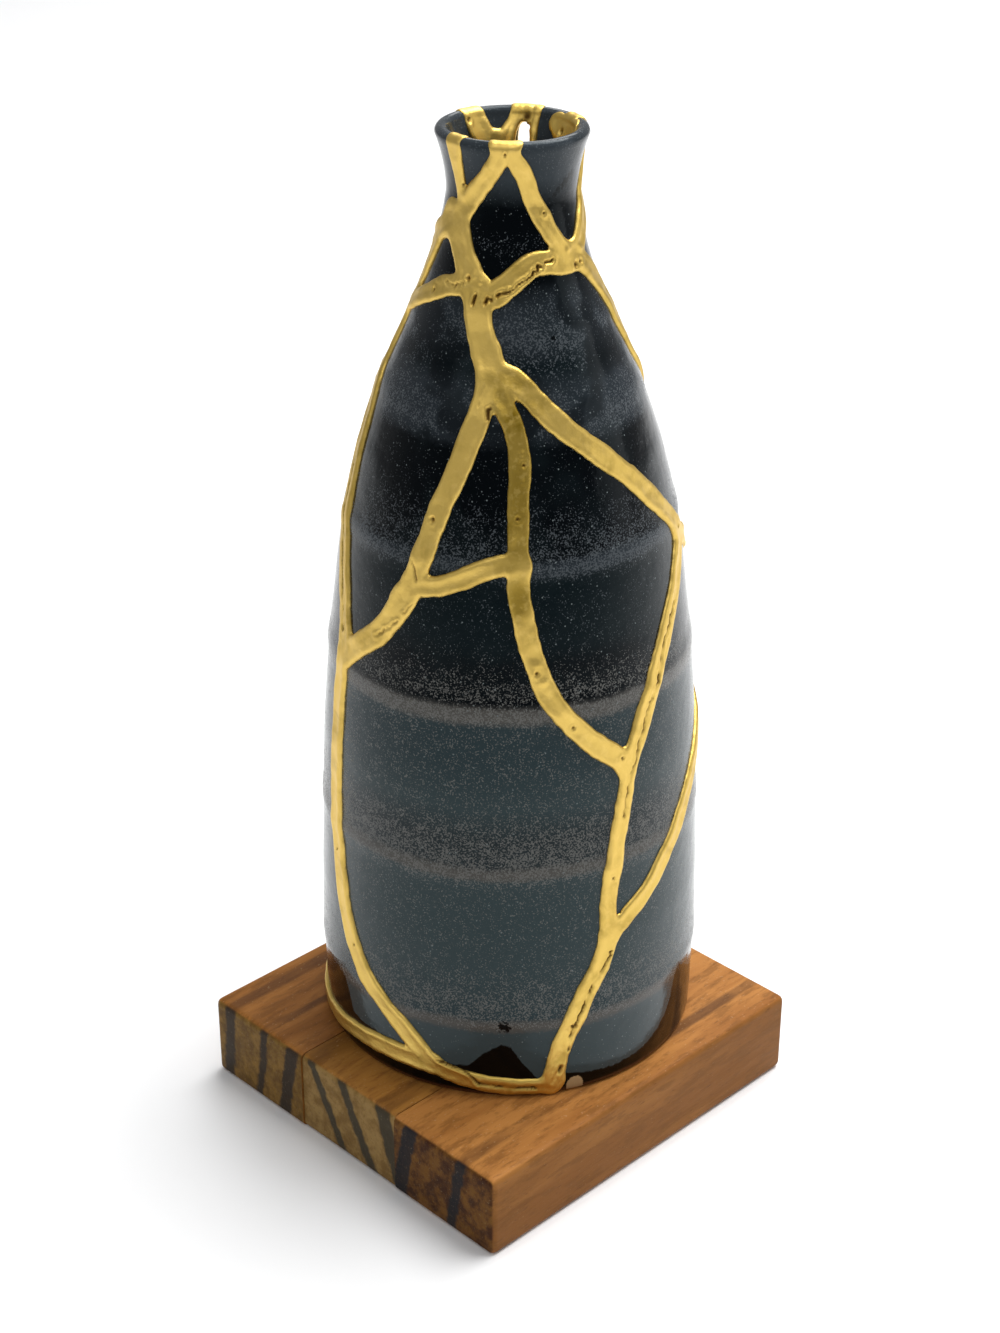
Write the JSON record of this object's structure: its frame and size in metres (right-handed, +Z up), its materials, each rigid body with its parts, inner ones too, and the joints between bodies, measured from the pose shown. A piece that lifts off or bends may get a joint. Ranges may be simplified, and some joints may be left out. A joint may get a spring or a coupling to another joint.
{
  "type": "vase",
  "caption": "Slender thrown stoneware vase with a narrow flared mouth, broken and mended with raised gold seams, on a low square wooden stand.",
  "frame": {"origin": "middle of the stand's underside, on the surface that the stand rests on", "axes": "+Z up, along the vase; Y along the grain of the stand's boards, with end grain facing -Y; X across the boards. The vase's front faces between +X and -Y"},
  "size_m": [0.087, 0.0904, 0.2126],
  "materials": {
    "glaze_blue_black": "glossy blue-black glaze, mottled grey",
    "glaze_blue_grey": "glossy blue-grey glaze, finely speckled",
    "glaze_brown": "glossy dark brown glaze over bare clay",
    "gold_lacquer": "gold powder on lacquer, satin metallic",
    "stand_wood": "oiled reddish-brown wood, satin"
  },
  "bodies": {
    "root": {"shard_front_panel": "glaze_blue_grey", "shard_front_sliver": "glaze_blue_black", "shard_right_panel": "glaze_blue_grey", "shard_right_side": "glaze_blue_grey", "shard_foot_right": "glaze_blue_grey", "shard_left_shoulder": "glaze_blue_black", "shard_left_side": "glaze_blue_grey", "shard_foot_left": "glaze_brown", "shard_neck_left": "glaze_blue_black", "shard_rim_front": "glaze_blue_black", "shard_neck_front": "glaze_blue_black", "shard_neck_right": "glaze_blue_black", "shard_right_shoulder": "glaze_blue_black", "shard_neck_base": "glaze_blue_black", "shard_neck_back": "glaze_blue_black", "shard_back_panel": "glaze_blue_grey", "shard_rim_back": "glaze_blue_black", "gold_seam": "gold_lacquer", "stand_board_left": "stand_wood", "stand_board_middle": "stand_wood", "stand_board_right": "stand_wood"}
  },
  "joints": []
}
